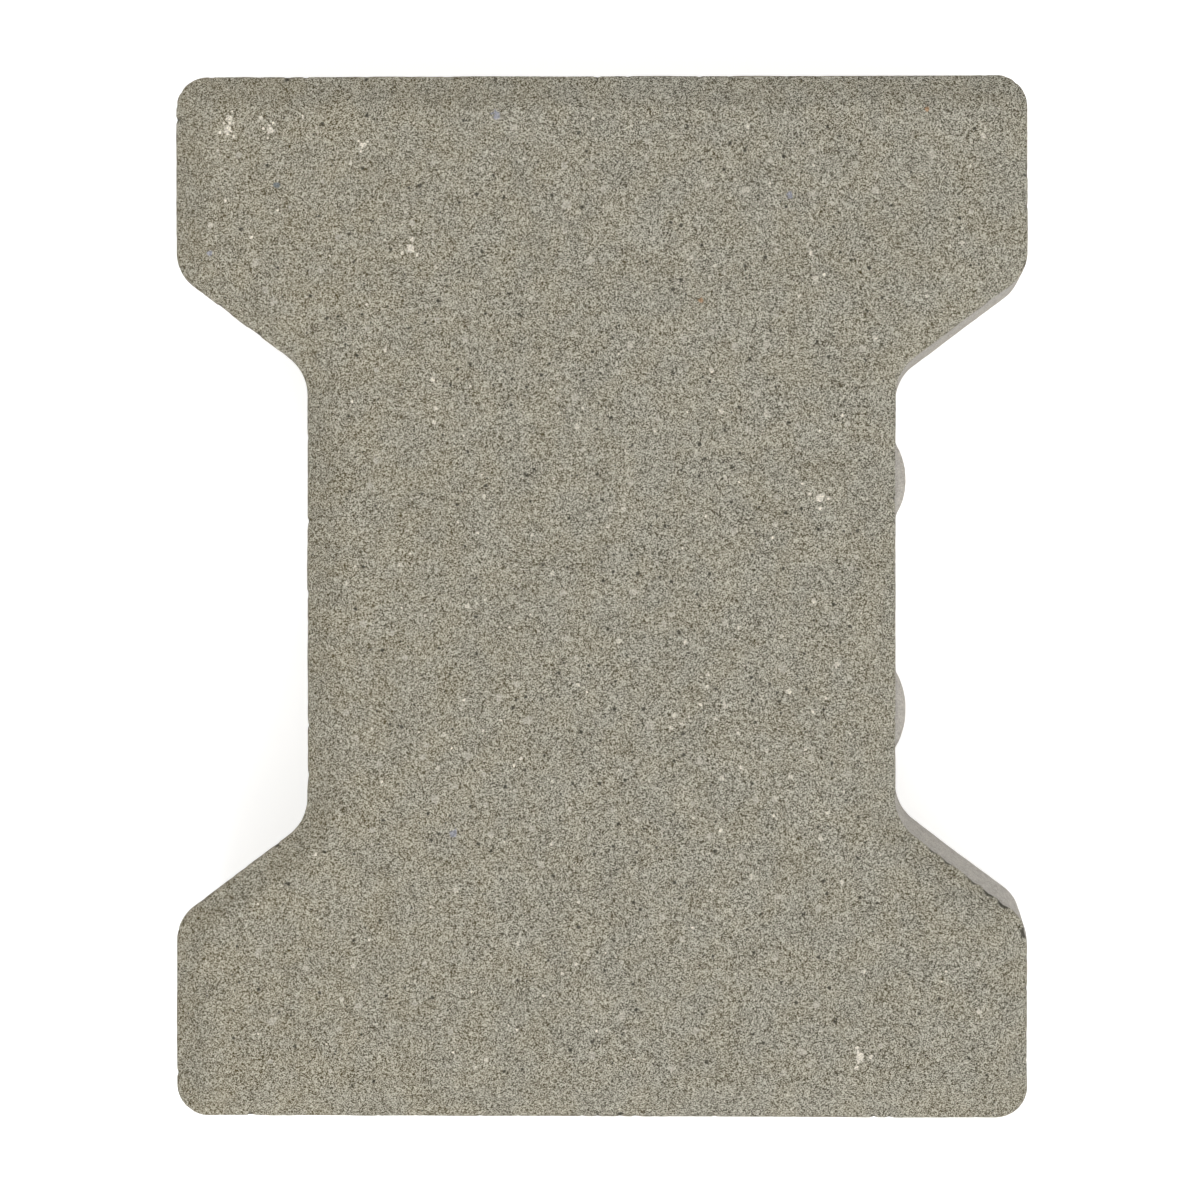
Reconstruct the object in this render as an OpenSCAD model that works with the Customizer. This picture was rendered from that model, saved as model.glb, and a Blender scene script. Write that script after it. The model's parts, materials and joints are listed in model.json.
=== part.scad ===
// Interlocking concrete paving stone, shaped like a broad letter I.
// It lies on its bedding face with its length along Y and its wearing face up.
// The origin is in the middle of the bedding face.

/* [Outline] */
// Length over both heads, along Y
stone_length = 198; // [180:1:240]
// Width across a head, along X
head_width = 162; // [140:1:190]
// Width across the waist, between the two side recesses
waist_width = 112; // [90:1:130]
// Straight side of a head, measured to the sharp corner of its shoulder
head_side = 37.5; // [30:0.5:44]
// Length along Y of the sloping flank between a head and the waist
flank_run = 18.75; // [14:0.25:24]
// Thickness from the bedding face to the wearing face
thickness = 80; // [60:1:120]

/* [Edges] */
// Radius of the upright corners at the two ends
end_radius = 6; // [3:0.5:10]
// Radius where the side of a head turns into the flank
shoulder_radius = 8; // [4:0.5:12]
// Radius where the flank turns into the waist
recess_radius = 9; // [5:0.5:14]
// Width of the chamfer round the wearing face, seen from above
chamfer_width = 5.5; // [3:0.5:8]
// Drop of the chamfer from the wearing face to the wall
chamfer_drop = 3; // [1:0.5:6]

/* [Spacer ribs] */
// Distance that a rib stands out from the waist wall
rib_reach = 2; // [1:0.25:4]
// Width of a rib along the waist wall
rib_width = 14; // [8:0.5:18]
// Distance between the middles of the two ribs on one side
rib_spacing = 45; // [30:1:54]
// Depth below the wearing face at which a rib begins
rib_start = 20; // [14:1:30]
// Height over which a rib slopes out to its full reach
rib_slope = 10; // [5:1:14]

/* [Hidden] */
$fn = 96;
// Distance that a cutting shape runs past the surface it cuts
overrun = 1;
// Extra radius of every round, so that it crosses the walls beside it and doesn't only touch them
hair = 0.002;
// Depth to which the slope of a rib is carried on inside the wall
rib_root = 0.5;

half_length = stone_length / 2;
half_head = head_width / 2;
half_waist = waist_width / 2;
shoulder_y = half_length - head_side;
recess_y = shoulder_y - flank_run;

// A rib is a slice of a cylinder, with this radius and this height of straight wall
rib_radius = (rib_width * rib_width / 4 + rib_reach * rib_reach) / (2 * rib_reach);
rib_straight = thickness - rib_start - rib_slope;

// Sharp corners of one quarter of the outline, each as x, y and radius, from the waist to the end
quarter = [
    [half_waist, recess_y, recess_radius],
    [half_head, shoulder_y, shoulder_radius],
    [half_head, half_length, end_radius],
];

// The same corners mirrored, and in the opposite order
function flipped(list, sx, sy) = [for (c = list) [sx * c.x, sy * c.y, c.z]];
function reversed(list) = [for (i = [len(list) - 1 : -1 : 0]) list[i]];

// All corners, counter-clockwise from the waist on the +X side
corners = concat(
    quarter,
    reversed(flipped(quarter, -1, 1)),
    flipped(quarter, -1, -1),
    reversed(flipped(quarter, 1, -1))
);
corner_count = len(corners);

// The neighbours of corner i, its sharp point and its radius
function after(i) = (i + 1) % corner_count;
function before(i) = (i + corner_count - 1) % corner_count;
function spot(i) = [corners[i].x, corners[i].y];
function radius(i) = corners[i].z;
function cut_radius(i) = radius(i) + hair;

// Direction of the edge that leaves corner i, and the direction from that edge into the stone
function along(i) = (spot(after(i)) - spot(i)) / norm(spot(after(i)) - spot(i));
function inward(i) = [-along(i).y, along(i).x];
function bearing(v) = atan2(v.y, v.x);

// Angle that the outline turns at corner i: positive at an outer corner, negative in a recess
function turn(i) = atan2(cross(along(before(i)), along(i)), along(before(i)) * along(i));
function is_outer(i) = turn(i) > 0;

// Where the rounding of corner i begins and ends, and the middle of its arc
function arc_setback(i) = radius(i) * tan(abs(turn(i)) / 2);
function arc_start(i) = spot(i) - arc_setback(i) * along(before(i));
function arc_end(i) = spot(i) + arc_setback(i) * along(i);
function arc_centre(i) = arc_start(i) + sign(turn(i)) * radius(i) * inward(before(i));
function arc_bearing(i) = bearing(-inward(before(i)));

// Distance that a straight chamfer runs on into corner i, where the round chamfer lies deeper
function run_on(i) = is_outer(i) ? arc_setback(i) / 2 : 0;

// Depth at which the slope of the chamfer, carried on, clears the wearing face, and the top of what it cuts
chamfer_reach = chamfer_width * (1 + overrun / chamfer_drop);
chamfer_top = thickness + 2 * overrun;

// Height of the chamfer at a distance in from the wall
function chamfer_z(depth) = thickness - chamfer_drop * (1 - depth / chamfer_width);

// Section of what the chamfer takes away: distance in from the wall, and height
function chamfer_section(depth) = [
    [depth, chamfer_z(depth)],
    [depth, chamfer_top],
    [-overrun, chamfer_top],
    [-overrun, chamfer_z(-overrun)],
];

// The outline seen from above, with every corner rounded
module outline() {
    difference() {
        union() {
            polygon([for (i = [0 : corner_count - 1])
                each is_outer(i)
                    ? [arc_start(i), arc_end(i)]
                    : [arc_start(i), arc_centre(i), arc_end(i)]]);
            for (i = [0 : corner_count - 1])
                if (is_outer(i)) translate(arc_centre(i)) circle(cut_radius(i));
        }
        for (i = [0 : corner_count - 1])
            if (!is_outer(i)) translate(arc_centre(i)) circle(cut_radius(i));
    }
}

// Chamfer along the straight edge that leaves corner i
module straight_chamfer(i) {
    lead_in = run_on(i);
    lead_out = run_on(after(i));
    translate(arc_end(i) - lead_in * along(i))
        rotate([90, 0, bearing(inward(i))])
        linear_extrude(lead_in + norm(arc_start(after(i)) - arc_end(i)) + lead_out)
        polygon(chamfer_section(chamfer_reach));
}

// Chamfer round corner i: a slice of a cone at an outer corner, a whole ring in a recess
module corner_chamfer(i) {
    depth = is_outer(i) ? min(chamfer_reach, cut_radius(i)) : chamfer_reach;
    translate(arc_centre(i))
        rotate(arc_bearing(i))
        rotate_extrude(angle = is_outer(i) ? turn(i) : 360)
        polygon([for (p = chamfer_section(depth)) [cut_radius(i) - sign(turn(i)) * p.x, p.y]]);
}

// A spacer rib about its own axis, with a sloped top that runs into the wall
module rib() {
    cylinder(h = rib_straight, r = rib_radius);
    translate([0, 0, rib_straight])
        cylinder(
            h = rib_slope * (1 + rib_root / rib_reach),
            r1 = rib_radius,
            r2 = rib_radius - rib_reach - rib_root
        );
}

module paving_stone() {
    color("#989384") {
        difference() {
            linear_extrude(thickness) outline();
            for (i = [0 : corner_count - 1]) {
                straight_chamfer(i);
                corner_chamfer(i);
            }
        }
        for (side = [-1, 1], place = [-1, 1])
            translate([side * (half_waist + rib_reach - rib_radius), place * rib_spacing / 2])
                rib();
    }
}

paving_stone();
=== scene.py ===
import json
import math
import random
from collections import namedtuple

import bpy
import numpy as np
from mathutils import Matrix, Vector, geometry, noise


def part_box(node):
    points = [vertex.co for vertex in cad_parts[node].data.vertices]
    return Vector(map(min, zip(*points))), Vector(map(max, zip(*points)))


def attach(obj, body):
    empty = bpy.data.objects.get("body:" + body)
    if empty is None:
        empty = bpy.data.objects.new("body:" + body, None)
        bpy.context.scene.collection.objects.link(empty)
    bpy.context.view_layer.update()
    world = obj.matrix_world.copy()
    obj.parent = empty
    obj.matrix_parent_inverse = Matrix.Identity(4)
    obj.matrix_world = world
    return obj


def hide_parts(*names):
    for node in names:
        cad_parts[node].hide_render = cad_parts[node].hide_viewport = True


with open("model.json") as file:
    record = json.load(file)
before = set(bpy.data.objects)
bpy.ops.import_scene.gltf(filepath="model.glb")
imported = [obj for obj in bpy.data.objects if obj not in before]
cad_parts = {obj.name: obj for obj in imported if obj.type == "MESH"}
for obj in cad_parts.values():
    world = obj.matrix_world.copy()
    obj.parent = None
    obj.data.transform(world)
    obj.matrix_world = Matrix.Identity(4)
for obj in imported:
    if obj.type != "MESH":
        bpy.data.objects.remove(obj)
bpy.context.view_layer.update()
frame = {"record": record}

# Shapes are worked out in millimetres, and made in metres
MM = 0.001

# Outer sizes of the stone, from its solid
low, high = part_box("paving_stone")
LENGTH = (high.y - low.y) / MM
HEAD_WIDTH = (high.x - low.x) / MM
THICKNESS = (high.z - low.z) / MM

# The outline, as in the solid
WAIST_WIDTH = 112
HEAD_SIDE = 37.5
FLANK_RUN = 18.75
END_RADIUS = 6
SHOULDER_RADIUS = 8
RECESS_RADIUS = 9

# The chamfer round the wearing face, as in the solid
CHAMFER_WIDTH = 5.5
CHAMFER_DROP = 3
CHAMFER_SLOPE = CHAMFER_DROP / CHAMFER_WIDTH

# The spacer ribs on the waist walls, as in the solid
RIB_REACH = 2
RIB_WIDTH = 14
RIB_SPACING = 45
RIB_START = 20
RIB_SLOPE = 10
RIB_RADIUS = (RIB_WIDTH ** 2 / 4 + RIB_REACH ** 2) / (2 * RIB_REACH)
RIB_STRAIGHT = THICKNESS - RIB_START - RIB_SLOPE

# Worn edges: radius of the arris, height over which the crease is softened, rounding under the stone
ARRIS_RADIUS = 0.9
CREASE_SOFTNESS = 0.12
FOOT_RADIUS = 0.6

# Fineness of the mesh: along the outline, on the wearing face and on the bedding face, then the rows
# of the wall below, beside and above the slope of a rib, and the rings of the arris and the chamfer
COLUMN_STEP = 0.72
FACE_STEP = 0.72
BED_STEP = 2.6
WALL_ROWS = (9, 3, 5)
ARRIS_RINGS = 4
CHAMFER_RINGS = 8

# Relief of the cast surface, as pairs of the size of a feature and its height,
# and how many times longer than wide the upright marks of the mould are
FACE_RELIEF = [(26, 0.07), (2.4, 0.07), (1.1, 0.06)]
WALL_SWELL = (9, 0.12)
WALL_DRAG = (1.6, 0.05)
DRAG_STRETCH = 16
BED_RELIEF = (3.7, 0.15)

# Small damage along the arris: its size, the noise level where it begins, its depth,
# its reach in from the wall, and the depth at which its painted shade is at its darkest
NICK_SIZE = 1.5
NICK_LEVEL = 0.25
NICK_DEPTH = 0.6
NICK_REACH = 0.9
SHADE_DEPTH = 0.34

# Broken places of the arris that the photo shows, by place and radius, and their depth
BITES = [
    (63.3, -47.7, 0.9),
    (66.2, -49.9, 1.0),
    (71.2, -53.7, 0.9),
    (74.0, -55.8, 1.2),
    (76.6, -58.1, 1.2),
    (80.4, -63.8, 1.1),
    (-59.7, 98.3, 0.7),
    (-44.6, 98.3, 0.6),
]
BITE_DEPTH = 0.37

# Colours of single grains and pores; the last is painted shade, for pores, pits and nicks
WHITE_SAND = (0.74, 0.69, 0.59)
CREAM = (0.62, 0.58, 0.49)
BEIGE = (0.47, 0.44, 0.37)
BLUE = (0.30, 0.305, 0.345)
SLATE = (0.16, 0.18, 0.19)
RUST = (0.38, 0.24, 0.14)
HOLLOW_SHADE = (0.05, 0.046, 0.035)

# A small feature of the wearing face: its place and radius, its rise above the face and its colour
Spot = namedtuple("Spot", "x y radius rise colour")

# Grains that stand out in the photo, by place and radius
WHITE_GRAINS = [
    (-70.8, 88.7, 1.0),
    (-70.6, 91.0, 0.8),
    (-62.8, 88.7, 0.9),
    (-45.1, 85.8, 0.8),
    (-36.1, 66.2, 1.1),
    (41.6, 18.8, 1.2),
    (49.4, -87.4, 1.2),
]
PALE_GRAINS = [
    (-74.2, 70.6, 0.9),
    (36.2, -34.1, 0.7),
    (27.9, 89.1, 0.7),
    (25.4, 92.6, 0.5),
    (-47.5, 82.4, 0.6),
    (-22.2, 19.2, 0.6),
    (-21.6, -88.0, 0.7),
    (40.6, -0.8, 0.6),
    (26.3, -5.9, 0.6),
]
BLUE_GRAINS = [
    (-19.7, 91.5, 1.1),
    (-74.4, 65.4, 0.7),
    (-27.9, -45.0, 1.1),
    (35.9, 76.3, 0.9),
]
SLATE_GRAINS = [
    (-61.6, 78.2, 0.9),
]
RUST_GRAINS = [
    (61.9, 92.4, 0.6),
    (19.1, 56.3, 0.6),
]

# Rise and colour of those grains
WHITE_RISE = 0.14
OTHER_GRAINS = [
    (PALE_GRAINS, 0.10, CREAM),
    (BLUE_GRAINS, 0.05, BLUE),
    (SLATE_GRAINS, 0.05, SLATE),
    (RUST_GRAINS, 0.05, RUST),
]

# Smaller grains round each white one: their count, their share of its radius, the gap between,
# and the most that one strays round it, as a share of the angle from one to the next
CRUMBS = 3
CRUMB_SHARE = 0.45
CRUMB_GAP = (0.0, 0.3)
CRUMB_STRAY = 0.5

# Grains and pores scattered between them: count, smallest and largest radius, rise and colour; the sunken
# pores are coloured with painted shade
SCATTER = [
    (380, 0.25, 0.50, -0.25, HOLLOW_SHADE),
    (80, 0.25, 0.50, 0.08, WHITE_SAND),
    (90, 0.35, 0.75, 0.06, CREAM),
    (160, 0.50, 1.10, 0.04, BEIGE),
]

# Rings of points in a spot: the share of its radius, the count, and the share of its rise and colour,
# then how far a point strays from its ring, the share of a mesh step that is kept free round a spot,
# and the distance from the crease to the middle of a scattered spot, in radii
SPOT_RINGS = [(0.55, 6, 0.8), (1.0, 8, 0.0)]
SPOT_STRAY = (0.6, 1.3)
SPOT_MARGIN = 0.4
SPOT_RIM = 2.5

# Start values of the random draws
SPOT_SEED = 11
SHAPE_SEED = 5

# Points of the mesh nearer than this are one point
SAME_POINT = 1e-6

# The map for baked textures, in shares of its size: middle and scale, to a millimetre, of the wearing
# face and of the bedding face, then the left edges, the width, the bottom and the length of the two
# halves of the wall
FACE_MIDDLE = (0.325, 0.395)
FACE_SCALE = (0.0038, 0.0038)
BED_MIDDLE = (0.325, 0.893)
BED_SCALE = (0.0031, 0.0011)
WALL_LEFTS = (0.660, 0.832)
WALL_WIDTH = 0.155
WALL_BOTTOM = 0.008
WALL_LENGTH = 0.984


# Outline

def outline_corners():
    """The sharp corners of the outline, counter-clockwise, each as x, y and radius."""
    shoulder_y = LENGTH / 2 - HEAD_SIDE
    quarter = [
        (WAIST_WIDTH / 2, shoulder_y - FLANK_RUN, RECESS_RADIUS),
        (HEAD_WIDTH / 2, shoulder_y, SHOULDER_RADIUS),
        (HEAD_WIDTH / 2, LENGTH / 2, END_RADIUS),
    ]
    upper = quarter + [(-x, y, r) for x, y, r in reversed(quarter)]
    return upper + [(-x, -y, r) for x, y, r in upper]


def rounded_corner(before, corner, after):
    """The rounding of a corner: its start, end, middle, radius, turn, and the way in at its start."""
    spot = Vector(corner[:2])
    arriving = (spot - Vector(before[:2])).normalized()
    leaving = (Vector(after[:2]) - spot).normalized()
    turn = math.atan2(arriving.x * leaving.y - arriving.y * leaving.x, arriving.dot(leaving))
    setback = corner[2] * math.tan(abs(turn) / 2)
    inward = Vector((-arriving.y, arriving.x))
    start = spot - setback * arriving
    middle = start + math.copysign(corner[2], turn) * inward
    return start, spot + setback * leaving, middle, corner[2], turn, inward


def walk_outline(step):
    """Points round the outline about a step apart, and at each the direction into the stone."""
    corners = outline_corners()
    count = len(corners)
    rounded = [rounded_corner(corners[i - 1], corners[i], corners[(i + 1) % count]) for i in range(count)]
    points, inward = [], []
    for i, (start, end, middle, radius, turn, way_in) in enumerate(rounded):
        arc_steps = math.ceil(radius * abs(turn) / step)
        for k in range(arc_steps):
            way = way_in.copy()
            way.rotate(Matrix.Rotation(turn * k / arc_steps, 2))
            points.append(middle - math.copysign(radius, turn) * way)
            inward.append(way)
        next_start, *_, next_way_in = rounded[(i + 1) % count]
        line_steps = round((next_start - end).length / step)
        for k in range(line_steps):
            points.append(end.lerp(next_start, k / line_steps))
            inward.append(next_way_in)
    return np.array(points), np.array(inward)


# Section of the edge

def chamfer_height(inset):
    """Height of the chamfer at a distance in from the wall, with a soft crease at its inner edge."""
    below = CHAMFER_SLOPE * (CHAMFER_WIDTH - inset)
    return THICKNESS - CREASE_SOFTNESS * math.log1p(math.exp(below / CREASE_SOFTNESS))


# The section of the edge, as rows of distance in from the wall and height, from the bedding face up
Section = namedtuple("Section", "rows first_wall last_wall")


def edge_section():
    """The foot, wall, arris and chamfer in section."""
    lean = math.atan(CHAMFER_SLOPE)
    wall_top = THICKNESS - CHAMFER_DROP - ARRIS_RADIUS * math.tan((math.pi / 2 - lean) / 2)
    foot = [
        (FOOT_RADIUS * (1 - math.sin(a)), FOOT_RADIUS * (1 - math.cos(a)))
        for a in (0, math.pi / 4)
    ]
    levels = [FOOT_RADIUS, RIB_STRAIGHT, RIB_STRAIGHT + RIB_SLOPE, wall_top]
    wall = [(0, FOOT_RADIUS)]
    for bottom, top, rows in zip(levels, levels[1:], WALL_ROWS):
        wall += [(0, z) for z in np.linspace(bottom, top, rows + 1)[1:]]
    arris = [
        (ARRIS_RADIUS * (1 - math.cos(a)), wall_top + ARRIS_RADIUS * math.sin(a))
        for a in np.linspace(0, math.pi / 2 - lean, ARRIS_RINGS + 1)[1:]
    ]
    insets = np.linspace(arris[-1][0], CHAMFER_WIDTH, CHAMFER_RINGS + 1)[1:]
    chamfer = [(inset, chamfer_height(inset)) for inset in insets]
    return Section(np.array(foot + wall + arris + chamfer), len(foot), len(foot) + len(wall) - 1)


# Relief

def noise_at(points, size, shift=0.0):
    """Smooth noise from about -1 to 1 at points, with features of one size."""
    offset = Vector((shift, shift, shift))
    return np.array([noise.noise(Vector(p) / size + offset) for p in points])


def face_relief(points):
    """Rise of the cast face at points of it."""
    return sum(height * noise_at(points, size, shift=size) for size, height in FACE_RELIEF)


def wall_relief(points):
    """Distance that the cast wall stands out at points of it: swells, and upright marks of the mould."""
    swell_size, swell = WALL_SWELL
    drag_size, drag = WALL_DRAG
    stretched = points / (1, 1, DRAG_STRETCH)
    return swell * noise_at(points, swell_size) + drag * noise_at(stretched, drag_size)


def rib_reach(points):
    """Distance that the ribs stand out from the waist walls at points of the walls."""
    reach = np.zeros(len(points))
    radius = RIB_RADIUS - RIB_REACH * np.maximum((points[:, 2] - RIB_STRAIGHT) / RIB_SLOPE, 0)
    on_waist = np.abs(points[:, 0]) < WAIST_WIDTH / 2 + FOOT_RADIUS
    for middle in (-RIB_SPACING / 2, RIB_SPACING / 2):
        across = points[:, 1] - middle
        round_part = np.sqrt(np.maximum(np.maximum(radius, 0) ** 2 - across ** 2, 0))
        reach = np.maximum(reach, round_part - (RIB_RADIUS - RIB_REACH))
    return np.where(on_waist, reach, 0)


def arris_damage(points):
    """Depth of the damage along the arris at points near it: fine nicks, and the broken places."""
    depth = NICK_DEPTH * np.maximum(noise_at(points * (1, 1, 0), NICK_SIZE) - NICK_LEVEL, 0)
    for x, y, radius in BITES:
        apart = np.hypot(points[:, 0] - x, points[:, 1] - y)
        depth = np.maximum(depth, BITE_DEPTH * np.exp(-(apart / radius) ** 2))
    return depth


# Patches inside a loop

def row_span(loop, y):
    """The two ends of the level line at y inside a closed loop."""
    following = np.roll(loop, -1, axis=0)
    crossed = (loop[:, 1] > y) != (following[:, 1] > y)
    a, b = loop[crossed], following[crossed]
    x = a[:, 0] + (y - a[:, 1]) / (b[:, 1] - a[:, 1]) * (b[:, 0] - a[:, 0])
    return x.min(), x.max()


def lattice(loop, step):
    """Points in staggered rows, a step apart, inside a closed loop and clear of it."""
    points = []
    top = loop[:, 1].max() - step / 2
    for k, y in enumerate(np.arange(-top, top, step * math.sqrt(3) / 2)):
        left, right = row_span(loop, y)
        first = left + step / 2 * (1 + k % 2)
        points.extend((x, y) for x in np.arange(first, right - step / 2, step))
    return np.array(points)


def triangulate(loop, inner):
    """Triangles between a closed loop and the points inside it, as numbers that count the loop first."""
    points = [Vector(p) for p in np.concatenate([loop, inner])]
    edges = [(i, (i + 1) % len(loop)) for i in range(len(loop))]
    inside_only = 1
    _, _, faces, origins, *_ = geometry.delaunay_2d_cdt(points, edges, [], inside_only, SAME_POINT)
    return [[origins[v][0] for v in face] for face in faces]


# Spots of the wearing face

def free_of(spots, x, y, radius):
    """True where a new spot would be clear of the others."""
    return all(math.hypot(x - s.x, y - s.y) > radius + s.radius + FACE_STEP for s in spots)


def crumbs(spot, draw):
    """Smaller grains of the same colour round a spot."""
    first = draw.uniform(0, math.tau)
    radius = CRUMB_SHARE * spot.radius
    made = []
    for k in range(CRUMBS):
        angle = first + math.tau * (k + draw.uniform(0, CRUMB_STRAY)) / CRUMBS
        reach = spot.radius + radius + draw.uniform(*CRUMB_GAP)
        place = (spot.x + reach * math.cos(angle), spot.y + reach * math.sin(angle))
        made.append(Spot(*place, radius, spot.rise, spot.colour))
    return made


def scatter_spots(loop):
    """The grains that show in the photo, and more grains and pores between them."""
    draw = random.Random(SPOT_SEED)
    spots = [Spot(x, y, r, WHITE_RISE, WHITE_SAND) for x, y, r in WHITE_GRAINS]
    for spot in spots[:]:
        spots += crumbs(spot, draw)
    for grains, rise, colour in OTHER_GRAINS:
        spots += [Spot(x, y, r, rise, colour) for x, y, r in grains]
    bottom, top = loop[:, 1].min(), loop[:, 1].max()
    for count, smallest, largest, rise, colour in SCATTER:
        placed = 0
        while placed < count:
            radius = draw.uniform(smallest, largest)
            rim = SPOT_RIM * radius
            y = draw.uniform(bottom + rim, top - rim)
            left, right = row_span(loop, y)
            x = draw.uniform(left + rim, right - rim)
            if free_of(spots, x, y, radius):
                spots.append(Spot(x, y, radius, rise, colour))
                placed += 1
    return spots


def spot_points(spot, draw):
    """Points of one spot, as x, y and the share of its rise and colour there."""
    points = [(spot.x, spot.y, 1.0)]
    for reach_share, count, share in SPOT_RINGS:
        first = draw.uniform(0, math.tau)
        for k in range(count):
            angle = first + math.tau * k / count
            reach = spot.radius * reach_share * draw.uniform(*SPOT_STRAY)
            points.append((spot.x + reach * math.cos(angle), spot.y + reach * math.sin(angle), share))
    return points


# The stone's surface, part by part

# Points of the stone's side, and at each the row that it is in, the depth of damage and the reach of a rib
Side = namedtuple("Side", "points row nick rib")


def make_side(columns, inward, section):
    """Rings of points from the bedding face up to the crease, with relief."""
    ring_count = len(section.rows)
    row = np.repeat(np.arange(ring_count), len(columns))
    inset, height = section.rows[row].T
    into = np.tile(inward, (ring_count, 1))
    smooth = np.column_stack([np.tile(columns, (ring_count, 1)) + inset[:, None] * into, height])
    above_wall = row > section.last_wall
    rib = np.where(above_wall, 0, rib_reach(smooth))
    out = np.where(above_wall, 0, rib + wall_relief(smooth))
    nick = arris_damage(smooth) * np.exp(-(inset / NICK_REACH) ** 2) * (row >= section.last_wall)
    points = smooth.copy()
    points[:, :2] += (nick - out)[:, None] * into
    points[:, 2] += np.where(above_wall, face_relief(smooth), 0) - nick
    points[:, 2] = np.maximum(points[:, 2], 0)
    return Side(points, row, nick, rib)


def make_face(loop):
    """Points of the wearing face inside the crease, with relief, and the colour mark of each, which is
    painted shade for the pits.
    """
    spots = scatter_spots(loop)
    plain = lattice(loop, FACE_STEP)
    for s in spots:
        apart = np.hypot(plain[:, 0] - s.x, plain[:, 1] - s.y)
        plain = plain[apart > s.radius + SPOT_MARGIN * FACE_STEP]
    draw = random.Random(SHAPE_SEED)
    points = [(x, y, THICKNESS) for x, y in plain]
    marks = [(0, 0, 0, 0)] * len(plain)
    for s in spots:
        for x, y, share in spot_points(s, draw):
            points.append((x, y, THICKNESS + share * s.rise))
            marks.append((*s.colour, share))
    points = np.array(points)
    points[:, 2] += face_relief(points)
    return points, np.array(marks)


def make_bed(loop):
    """Points of the bedding face, which is a little rough and touches the ground in its lowest places."""
    plain = lattice(loop, BED_STEP)
    points = np.column_stack([plain, np.zeros(len(plain))])
    size, height = BED_RELIEF
    points[:, 2] = height * np.maximum(noise_at(points, size), 0)
    return points


def ring_corners(rings):
    """The four corners of each quad between rings, given as an array of rings of numbers or places."""
    following = np.roll(rings, -1, axis=1)
    return np.stack([rings[:-1], following[:-1], following[1:], rings[1:]], axis=2)


# Map for baked textures

def from_above(places):
    """Places in the map of the wearing face and what is folded out round it."""
    return FACE_MIDDLE + places * FACE_SCALE


def from_below(places):
    """Places in the map of the bedding face and what is folded out round it."""
    return BED_MIDDLE + places[..., ::-1] * BED_SCALE


def folded_out(columns, inward, rows, level):
    """Rings of the side laid flat round one of them, each at its distance along the section."""
    run = np.concatenate([[0], np.cumsum(np.hypot(*np.diff(rows, axis=0).T))])
    inset = rows[level, 0] - np.abs(run - run[level])
    return columns + inset[:, None, None] * inward


def wall_corners(columns, heights):
    """Places in the map of the corners of the wall's quads, in two upright halves side by side."""
    count = len(columns)
    run = np.concatenate([[0], np.cumsum(np.hypot(*(np.roll(columns, -1, axis=0) - columns).T))])
    first_half = np.arange(count) < count // 2
    middle, end = run[count // 2], run[count]
    start = np.where(first_half, 0, middle)
    length = np.where(first_half, middle, end - middle)
    here, following = (run[:-1] - start) / length, (run[1:] - start) / length
    along = np.column_stack([here, following, following, here])
    rise = (heights - heights[0]) / (heights[-1] - heights[0])
    across = np.column_stack([rise[:-1], rise[:-1], rise[1:], rise[1:]])
    left = np.where(first_half, *WALL_LEFTS)
    u = left[None, :, None] + WALL_WIDTH * across[:, None, :]
    v = WALL_BOTTOM + WALL_LENGTH * along[None, :, :]
    return np.stack(np.broadcast_arrays(u, v), axis=-1)


def map_corners(columns, inward, section, top, bed):
    """Places in the map of all corners of the mesh, with the top's and the bed's triangles as points."""
    rows, first, last = section
    crease = len(rows) - last - 1
    parts = [
        ring_corners(from_below(folded_out(columns, inward, rows[:first + 1], 0))),
        wall_corners(columns, rows[first:last + 1, 1]),
        ring_corners(from_above(folded_out(columns, inward, rows[last:], crease))),
        from_above(top),
        from_below(bed),
    ]
    return np.concatenate([part.reshape(-1, 2) for part in parts])


# The whole stone

def mark(mesh, name, values):
    """Stores a value for each point of the mesh, for the material to read."""
    mesh.attributes.new(name, "FLOAT", "POINT").data.foreach_set("value", values)


def add_marks(mesh, section, side, face_marks, bed):
    """Marks the points of the walls, the chamfer and the ribs, and those of single grains and nicks; pits
    and nicks are given painted shade.
    """
    on_wall = side.row <= section.last_wall
    face_zeros = np.zeros(len(face_marks))
    bed_zeros = np.zeros(len(bed))
    mark(mesh, "wall", np.concatenate([on_wall, face_zeros, bed_zeros + 1]))
    # Chamfer mark, which carries the painted shade on the chamfer
    mark(mesh, "slope", np.concatenate([~on_wall, face_zeros, bed_zeros]))
    # Reach of the ribs, which carries their painted highlight
    mark(mesh, "rib", np.concatenate([side.rib / RIB_REACH, face_zeros, bed_zeros]))
    # Nicks are darkened with painted shade, fully at the shade depth
    damage = np.minimum(side.nick / SHADE_DEPTH, 1)
    side_marks = np.column_stack([np.tile(HOLLOW_SHADE, (len(damage), 1)), damage])
    colours = np.concatenate([side_marks, face_marks, np.zeros((len(bed), 4))])
    mesh.attributes.new("speck_and_shade", "FLOAT_COLOR", "POINT").data.foreach_set("color", np.ravel(colours))


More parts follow.
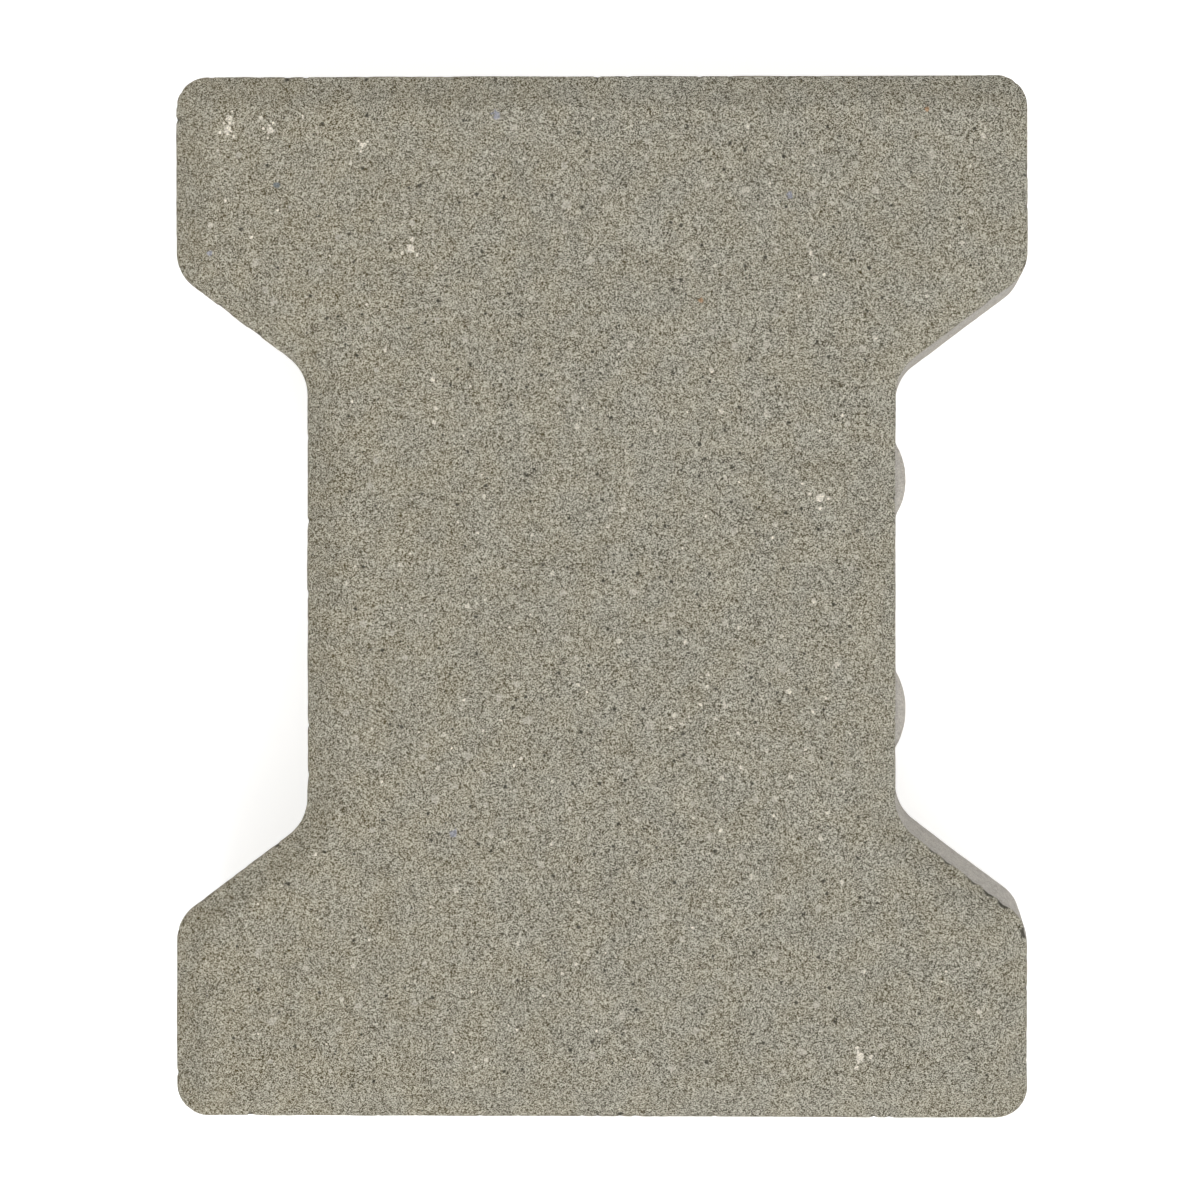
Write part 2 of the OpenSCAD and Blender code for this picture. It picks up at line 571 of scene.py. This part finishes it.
def make_stone():
    """The stone as one closed mesh, with its relief, its marks and its map for baked textures."""
    columns, inward = walk_outline(COLUMN_STEP)
    section = edge_section()
    side = make_side(columns, inward, section)
    crease = columns + CHAMFER_WIDTH * inward
    face, face_marks = make_face(crease)
    foot_loop = columns + FOOT_RADIUS * inward
    bed = make_bed(foot_loop)
    points = np.concatenate([side.points, face, bed])

    # Each patch takes the ring beside it as its rim: the crease is the last ring, the foot is the first
    count = len(columns)
    face_start = len(side.points)
    bed_start = face_start + len(face)
    numbers = np.arange(len(points))
    face_numbers = numbers[face_start - count:bed_start]
    bed_numbers = np.concatenate([numbers[:count], numbers[bed_start:]])
    quads = ring_corners(numbers[:face_start].reshape(-1, count)).reshape(-1, 4)
    top_triangles = face_numbers[triangulate(crease, face[:, :2])]
    bed_triangles = bed_numbers[triangulate(foot_loop, bed[:, :2])][:, ::-1]
    mesh = bpy.data.meshes.new("concrete_stone")
    faces = quads.tolist() + top_triangles.tolist() + bed_triangles.tolist()
    mesh.from_pydata((points * MM).tolist(), [], faces)
    mesh.shade_smooth()

    add_marks(mesh, section, side, face_marks, bed)
    places = map_corners(columns, inward, section, points[top_triangles, :2], points[bed_triangles, :2])
    mesh.uv_layers.new(name="OFBake").data.foreach_set("uv", np.ravel(places))
    stone = bpy.data.objects.new("concrete_stone", mesh)
    bpy.context.scene.collection.objects.link(stone)
    return stone


# Material

# Spread of the values of cells and of soft noise
CELL_SPREAD = (0, 1)
NOISE_SPREAD = (0.2, 0.8)

# Grain of the concrete: features to a millimetre, the most that each lightens or darkens the face,
# and the detail of the soft noises
SAND_SCALE = 6.0
SAND_CHANGE = 0.85
GRIT_SCALE = 2.2
GRIT_CHANGE = 0.06
FINE_SCALE = 1.1
FINE_CHANGE = 0.11
FINE_DETAIL = 2.0
PATCH_SCALE = 0.11
PATCH_CHANGE = 0.05
PATCH_DETAIL = 5.0

# Bump of the grain: its height in millimetres, its strength and the share of the grit in it,
# then how matt the surface is
BUMP_HEIGHT = 0.25
BUMP_STRENGTH = 0.5
BUMP_GRIT = 0.5
ROUGHNESS = 0.93
SPECULAR = 0.25

# Warm and cool places of the face: the change of colour, features to a millimetre, the detail and the
# spread of their noise, and the share of the cool tint across it, then the change of that share
# from the left of the face to its middle
WARMTH = 0.02
MOTTLE_SCALE = 0.15
MOTTLE_DETAIL = 2.0
MOTTLE_SPREAD = (0.35, 0.65)
MOTTLE_SHARES = (0.25, 0.75)
DRIFT_SPAN = (-75, 15)
DRIFT_SHARES = (-0.25, 0.12)

# Tints of the face's grain and of the walls, and the painted shade on the chamfer, as shares of the base
# colour
GRAIN_TINT = (1.0, 1.04, 1.13)
WALL_TINT = (1.25, 1.25, 1.41)
CHAMFER_PAINTED_SHADE = 0.97

# Fine pores, painted as dark dots of shade, and pale grains: cells to a millimetre, and the share of the
# cells that have one, then the distances from the middle of a cell between which a dot fades out
PORES = (2.0, 0.035)
PALE_DOTS = (2.0, 0.020)
DOT_EDGE = (0.30, 0.40)

# Single grains, and the painted shade of pits and nicks: the marks between which one fades in, how well it
# covers the face, and its own sand
SPECK_EDGE = (0.2, 0.6)
SPECK_COVER = 0.9
PEBBLE_CHANGE = 0.4

# Sand and upright streaks of the walls, and the ribs painted paler as a highlight, with the marks between
# which they fade in
WALL_SAND_CHANGE = 0.55
STREAK_SCALE = 0.9
STREAK_STRETCH = 12.5
STREAK_DETAIL = 4.0
STREAK_CHANGE = 0.18
RIB_PAINTED_HIGHLIGHT = 1.17
RIB_EDGE = (0.0, 0.4)

# Numbers of the sockets of a Mix node that mix colours
MIX_SHARE = 0
MIX_FIRST = 6
MIX_SECOND = 7
MIX_RESULT = 2


def add(tree, kind, inputs=None, **settings):
    """A new shader node with its settings, whose inputs are set to values or linked to sockets."""
    made = tree.nodes.new(kind)
    for name, value in settings.items():
        setattr(made, name, value)
    for name, value in (inputs or {}).items():
        if isinstance(value, bpy.types.NodeSocket):
            tree.links.new(value, made.inputs[name])
        else:
            made.inputs[name].default_value = value
    return made


def maths(tree, operation, a, b):
    """The result of a sum on two numbers or sockets."""
    return add(tree, "ShaderNodeMath", {0: a, 1: b}, operation=operation).outputs[0]


def carried(tree, value, start, end, new_start, new_end, smooth=False):
    """A value carried from one range to another."""
    inputs = {"Value": value, "From Min": start, "From Max": end, "To Min": new_start, "To Max": new_end}
    kind = "SMOOTHSTEP" if smooth else "LINEAR"
    return add(tree, "ShaderNodeMapRange", inputs, interpolation_type=kind).outputs["Result"]


def mixed(tree, share, a, b):
    """Two colours mixed by a share."""
    inputs = {MIX_SHARE: share, MIX_FIRST: a, MIX_SECOND: b}
    return add(tree, "ShaderNodeMix", inputs, data_type="RGBA").outputs[MIX_RESULT]


def scaled(tree, colour, by):
    """A colour made lighter or darker."""
    return add(tree, "ShaderNodeVectorMath", {0: colour, "Scale": by}, operation="SCALE").outputs[0]


def clouds(tree, place, scale, detail):
    """Soft noise from 0 to 1, with its number of features to a millimetre."""
    inputs = {"Vector": place, "Scale": scale, "Detail": detail}
    return add(tree, "ShaderNodeTexNoise", inputs).outputs["Fac"]


def cell_values(tree, place, scale):
    """Small cells that each have one value from 0 to 1, with their number to a millimetre."""
    cells = add(tree, "ShaderNodeTexVoronoi", {"Vector": place, "Scale": scale}).outputs["Color"]
    return add(tree, "ShaderNodeSeparateColor", {"Color": cells}).outputs["Red"]


def dots(tree, place, scale, share):
    """Small round dots from 0 to 1, in a share of the cells of a pattern."""
    cells = add(tree, "ShaderNodeTexVoronoi", {"Vector": place, "Scale": scale}).outputs
    value = add(tree, "ShaderNodeSeparateColor", {"Color": cells["Color"]}).outputs["Green"]
    chosen = maths(tree, "LESS_THAN", value, share)
    return maths(tree, "MULTIPLY", chosen, carried(tree, cells["Distance"], *DOT_EDGE, 1, 0, smooth=True))


def attribute(tree, name):
    """The node that reads a mark of the mesh."""
    return add(tree, "ShaderNodeAttribute", attribute_name=name)


def factor(tree, value, spread, change, smooth=False):
    """A factor round 1 from a pattern with a spread of values, for the most that it changes a colour."""
    return carried(tree, value, *spread, 1 - change, 1 + change, smooth)


def face_tone(tree, place, base):
    """Colour of the wearing face without its grain, in warm and cool places and warmer to the left."""
    warm = (base[0] * (1 + WARMTH), base[1], base[2] * (1 - 2 * WARMTH), 1)
    cool = (base[0] * (1 - WARMTH), base[1], base[2] * (1 + 2 * WARMTH), 1)
    mottle = clouds(tree, place, MOTTLE_SCALE, MOTTLE_DETAIL)
    share = carried(tree, mottle, *MOTTLE_SPREAD, *MOTTLE_SHARES, smooth=True)
    x = add(tree, "ShaderNodeSeparateXYZ", {"Vector": place}).outputs["X"]
    drift = carried(tree, x, *DRIFT_SPAN, *DRIFT_SHARES, smooth=True)
    return mixed(tree, maths(tree, "ADD", share, drift), warm, cool)


def face_grain(tree, place, sand, grit, fine):
    """Lightness of the wearing face, as a factor round 1 from its sand, grit and patches, with painted
    shade on the chamfer.
    """
    patch = clouds(tree, place, PATCH_SCALE, PATCH_DETAIL)
    slope = attribute(tree, "slope").outputs["Fac"]
    bright = factor(tree, sand, CELL_SPREAD, SAND_CHANGE, smooth=True)
    bright = maths(tree, "MULTIPLY", bright, factor(tree, grit, CELL_SPREAD, GRIT_CHANGE))
    bright = maths(tree, "MULTIPLY", bright, factor(tree, fine, NOISE_SPREAD, FINE_CHANGE))
    bright = maths(tree, "MULTIPLY", bright, factor(tree, patch, NOISE_SPREAD, PATCH_CHANGE))
    # The chamfer is darkened by painted shade
    return maths(tree, "MULTIPLY", bright, carried(tree, slope, 0, 1, 1, CHAMFER_PAINTED_SHADE))


def face_colour(tree, place, base, sand, grit, fine):
    """Colour of the wearing face: its tone and grain, with fine pores in painted shade and single grains
    on them, and painted shade in pits and nicks.
    """
    tint = [part * share for part, share in zip(base, GRAIN_TINT)]
    change = maths(tree, "SUBTRACT", face_grain(tree, place, sand, grit, fine), 1.0)
    grain = {0: change, 1: tint, 2: face_tone(tree, place, base)}
    colour = add(tree, "ShaderNodeVectorMath", grain, operation="MULTIPLY_ADD").outputs[0]
    # Pores painted as dark dots of shade
    colour = mixed(tree, dots(tree, place, *PORES), colour, (*HOLLOW_SHADE, 1))
    colour = mixed(tree, dots(tree, place, *PALE_DOTS), colour, (*CREAM, 1))

    # Grains keep their own colours; pits and nicks get painted shade
    speck_and_shade = attribute(tree, "speck_and_shade")
    share = carried(tree, speck_and_shade.outputs["Alpha"], *SPECK_EDGE, 0, SPECK_COVER, smooth=True)
    speck_and_shade_colour = scaled(tree, speck_and_shade.outputs["Color"], factor(tree, sand, CELL_SPREAD, PEBBLE_CHANGE))
    return mixed(tree, share, colour, speck_and_shade_colour)


def wall_colour(tree, place, base, sand):
    """Colour of the walls: paler and greyer than the face, with upright streaks, and a painted highlight
    that makes the ribs paler still.
    """
    stretched = {"Vector": place, "Scale": (1, 1, 1 / STREAK_STRETCH)}
    streaks = add(tree, "ShaderNodeMapping", stretched).outputs[0]
    drag = clouds(tree, streaks, STREAK_SCALE, STREAK_DETAIL)
    bright = factor(tree, sand, CELL_SPREAD, WALL_SAND_CHANGE)
    bright = maths(tree, "ADD", bright, carried(tree, drag, *NOISE_SPREAD, -STREAK_CHANGE, STREAK_CHANGE))
    rib = attribute(tree, "rib").outputs["Fac"]
    # Painted highlight that makes the ribs paler
    bright = maths(tree, "MULTIPLY", bright, carried(tree, rib, *RIB_EDGE, 1, RIB_PAINTED_HIGHLIGHT, smooth=True))
    return scaled(tree, [part * share for part, share in zip(base, WALL_TINT)], bright)


def concrete():
    """Fine sandy concrete, darker on the wearing face than on the walls."""
    material = bpy.data.materials.new("concrete")
    material.use_nodes = True
    tree = material.node_tree
    shader = tree.nodes["Principled BSDF"]
    base = frame["record"]["materials"][0]["base_color"]
    metres = add(tree, "ShaderNodeTexCoord").outputs["Object"]
    place = scaled(tree, metres, 1 / MM)
    sand = cell_values(tree, place, SAND_SCALE)
    grit = cell_values(tree, place, GRIT_SCALE)
    fine = clouds(tree, place, FINE_SCALE, FINE_DETAIL)
    face = face_colour(tree, place, base, sand, grit, fine)
    side = wall_colour(tree, place, base, sand)
    colour = mixed(tree, attribute(tree, "wall").outputs["Fac"], face, side)
    tree.links.new(colour, shader.inputs["Base Color"])

    height = maths(tree, "ADD", fine, maths(tree, "MULTIPLY", grit, BUMP_GRIT))
    relief = {"Height": height, "Strength": BUMP_STRENGTH, "Distance": BUMP_HEIGHT * MM}
    bump = add(tree, "ShaderNodeBump", relief)
    tree.links.new(bump.outputs["Normal"], shader.inputs["Normal"])
    shader.inputs["Roughness"].default_value = ROUGHNESS
    shader.inputs["Specular IOR Level"].default_value = SPECULAR
    return material


# Floor, light and camera, in metres

# The white floor, with a glow that keeps it white round the stone
FLOOR_RADIUS = 20.0
FLOOR_SIDES = 64
FLOOR_WHITE = (0.93, 0.93, 0.92, 1.0)
FLOOR_ROUGHNESS = 0.9
FLOOR_GLOW = 0.5

# The sky, the lamp overhead, and the key lamp with the way it lies in and its lean from upright
WHITE = (1.0, 1.0, 1.0, 1.0)
SKY_STRENGTH = 0.42
OVERHEAD_PLACE = Vector((0.15, 0.25, 2.2))
OVERHEAD_SIZE = 1.5
OVERHEAD_POWER = 13.6
KEY_WAY = Vector((0.33, -0.94, 0.0))
KEY_LEAN = math.radians(31)
KEY_DISTANCE = 2.6
KEY_SIZE = 1.9
KEY_POWER = 33.0

# The camera, with its lens and sensor in millimetres
CAMERA_PLACE = Vector((0.0552, 0.0147, 1.429))
CAMERA_TARGET = Vector((-0.00017, -0.00062, 0.077))
CAMERA_LENS = 213.35
CAMERA_SENSOR = 36.0


def looking(place, target, up):
    """The matrix that puts a camera or a lamp at a place, looking at a target."""
    back = (place - target).normalized()
    side = up.cross(back).normalized()
    rise = back.cross(side)
    return Matrix.Translation(place) @ Matrix((side, rise, back)).transposed().to_4x4()


def make_floor():
    """A plain white floor under the stone."""
    mesh = bpy.data.meshes.new("floor")
    angles = [math.tau * k / FLOOR_SIDES for k in range(FLOOR_SIDES)]
    ring = [(FLOOR_RADIUS * math.cos(a), FLOOR_RADIUS * math.sin(a), 0) for a in angles]
    mesh.from_pydata(ring, [], [list(range(FLOOR_SIDES))])
    floor = bpy.data.objects.new("floor", mesh)
    bpy.context.scene.collection.objects.link(floor)
    material = bpy.data.materials.new("floor_white")
    material.use_nodes = True
    shader = material.node_tree.nodes["Principled BSDF"]
    shader.inputs["Base Color"].default_value = FLOOR_WHITE
    shader.inputs["Roughness"].default_value = FLOOR_ROUGHNESS
    shader.inputs["Emission Color"].default_value = WHITE
    shader.inputs["Emission Strength"].default_value = FLOOR_GLOW
    mesh.materials.append(material)


def add_lamp(name, place, target, size, power):
    """A square soft lamp that shines from a place to a target."""
    lamp = bpy.data.lights.new(name, "AREA")
    lamp.size = size
    lamp.energy = power
    made = bpy.data.objects.new(name, lamp)
    made.matrix_world = looking(place, target, Vector((0, 1, 0)))
    bpy.context.scene.collection.objects.link(made)


def make_light():
    """A pale sky all round, a soft lamp overhead, and one from the lower right of the photo."""
    scene = bpy.context.scene
    world = bpy.data.worlds.new("studio")
    world.use_nodes = True
    background = world.node_tree.nodes["Background"]
    background.inputs["Color"].default_value = WHITE
    background.inputs["Strength"].default_value = SKY_STRENGTH
    scene.world = world
    target = Vector((0, 0, THICKNESS * MM))
    add_lamp("overhead", OVERHEAD_PLACE, target, OVERHEAD_SIZE, OVERHEAD_POWER)
    way = KEY_WAY.normalized() * math.sin(KEY_LEAN) + Vector((0, 0, math.cos(KEY_LEAN)))
    add_lamp("key", target + KEY_DISTANCE * way, target, KEY_SIZE, KEY_POWER)
    scene.view_settings.view_transform = "Standard"


def make_camera():
    """The camera over the stone, a little to the right of its middle."""
    data = bpy.data.cameras.new("camera")
    data.lens = CAMERA_LENS
    data.sensor_width = CAMERA_SENSOR
    camera = bpy.data.objects.new("camera", data)
    camera.matrix_world = looking(CAMERA_PLACE, CAMERA_TARGET, Vector((0, 1, 0)))
    bpy.context.scene.collection.objects.link(camera)
    bpy.context.scene.camera = camera


stone = make_stone()
stone.data.materials.append(concrete())
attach(stone, "root")
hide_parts("paving_stone")
make_floor()
make_light()
make_camera()
